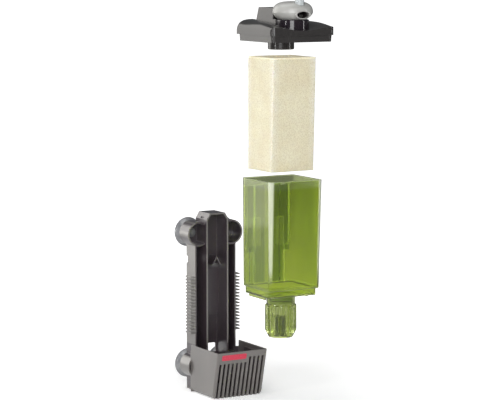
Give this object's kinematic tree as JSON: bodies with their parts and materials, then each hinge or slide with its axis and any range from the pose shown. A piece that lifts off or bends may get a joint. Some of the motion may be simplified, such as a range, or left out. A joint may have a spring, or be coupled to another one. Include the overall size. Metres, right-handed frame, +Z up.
{
  "type": "internal power filter",
  "caption": "Internal aquarium power filter shown drawn apart: suction-cup holder with slotted basket, clear green canister with strainer, foam cartridge, and pump head with swivelling outlet.",
  "frame": {"origin": "middle of the holder's resting face, in the plane of the tray's front edges", "axes": "+Z up, +Y towards the aquarium glass, -Y the front, +X to the right seen from the front"},
  "size_m": [0.098, 0.2835, 0.5783],
  "materials": {
    "holder_plastic": "satin moulded plastic",
    "head_plastic": "satin moulded plastic",
    "collar_plastic": "gloss",
    "grey_plastic": "satin",
    "clear_plastic": "gloss",
    "green_clear": "clear tinted plastic",
    "foam": "open-cell foam",
    "cup_rubber": "gloss",
    "seal_rubber": "matt",
    "cable_rubber": "matt",
    "steel": "bright",
    "copper": "enamelled wire",
    "magnet": "ferrite",
    "ceramic": "polished"
  },
  "bodies": {
    "holder": {"holder_frame": "holder_plastic", "suction_cup_lower_left": "cup_rubber", "suction_cup_lower_right": "cup_rubber", "suction_cup_upper_left": "cup_rubber", "suction_cup_upper_right": "cup_rubber"},
    "shoe": {"guide_shoe": "holder_plastic"},
    "canister": {"canister_shell": "green_clear", "strainer_seal": "seal_rubber"},
    "strainer": {"intake_strainer": "green_clear", "strainer_core": "green_clear"},
    "cartridge": {"filter_cartridge": "foam"},
    "head": {"head_base": "head_plastic", "head_cover": "head_plastic", "head_seal": "seal_rubber", "cover_screws": "steel", "chamber_seal": "seal_rubber", "upper_bush": "seal_rubber", "rotor_well": "head_plastic", "rotor_shaft": "ceramic", "stator_core": "steel", "stator_coil": "copper", "cable_gland": "seal_rubber", "power_cable": "cable_rubber", "nozzle_collar": "collar_plastic"},
    "chamber_cover": {"chamber_cover": "head_plastic", "lower_bush": "seal_rubber"},
    "rotor": {"rotor_magnet": "magnet", "impeller": "grey_plastic"},
    "nozzle": {"outlet_nozzle": "grey_plastic", "nozzle_seal": "seal_rubber"},
    "air_valve": {"air_valve": "clear_plastic"}
  },
  "joints": [
    {"name": "shoe_slide", "type": "slide", "parent": "holder", "child": "shoe", "axis": [0, 0, 1], "range_m": [-0.105, 0]},
    {"name": "canister_draw", "type": "slide", "parent": "shoe", "child": "canister", "axis": [0, -1, 0], "range_m": [-0.144, 0]},
    {"name": "cartridge_lift", "type": "slide", "parent": "canister", "child": "cartridge", "axis": [0, 0, 1], "range_m": [-0.168, 0]},
    {"name": "head_lift", "type": "slide", "parent": "cartridge", "child": "head", "axis": [0, 0, 1], "range_m": [-0.0245, 0]},
    {"name": "strainer_twist", "type": "hinge", "parent": "canister", "child": "strainer", "pos_m": [0, -0.187, 0.154], "axis": [0, 0, 1], "range_deg": [-40, 0]},
    {"name": "chamber_cover_twist", "type": "hinge", "parent": "head", "child": "chamber_cover", "pos_m": [0, -0.1865, 0.5161], "axis": [0, 0, 1], "range_deg": [-30, 0]},
    {"name": "rotor_spin", "type": "hinge", "parent": "head", "child": "rotor", "pos_m": [0, -0.1865, 0.5311], "axis": [0, 0, 1], "continuous": true},
    {"name": "nozzle_swivel", "type": "hinge", "parent": "head", "child": "nozzle", "pos_m": [0, -0.2175, 0.5461], "axis": [0, 0, 1], "range_deg": [-90, 90]},
    {"name": "air_valve_turn", "type": "hinge", "parent": "nozzle", "child": "air_valve", "pos_m": [0, -0.235, 0.5661], "axis": [0, 0, 1], "range_deg": [0, 180]}
  ]
}
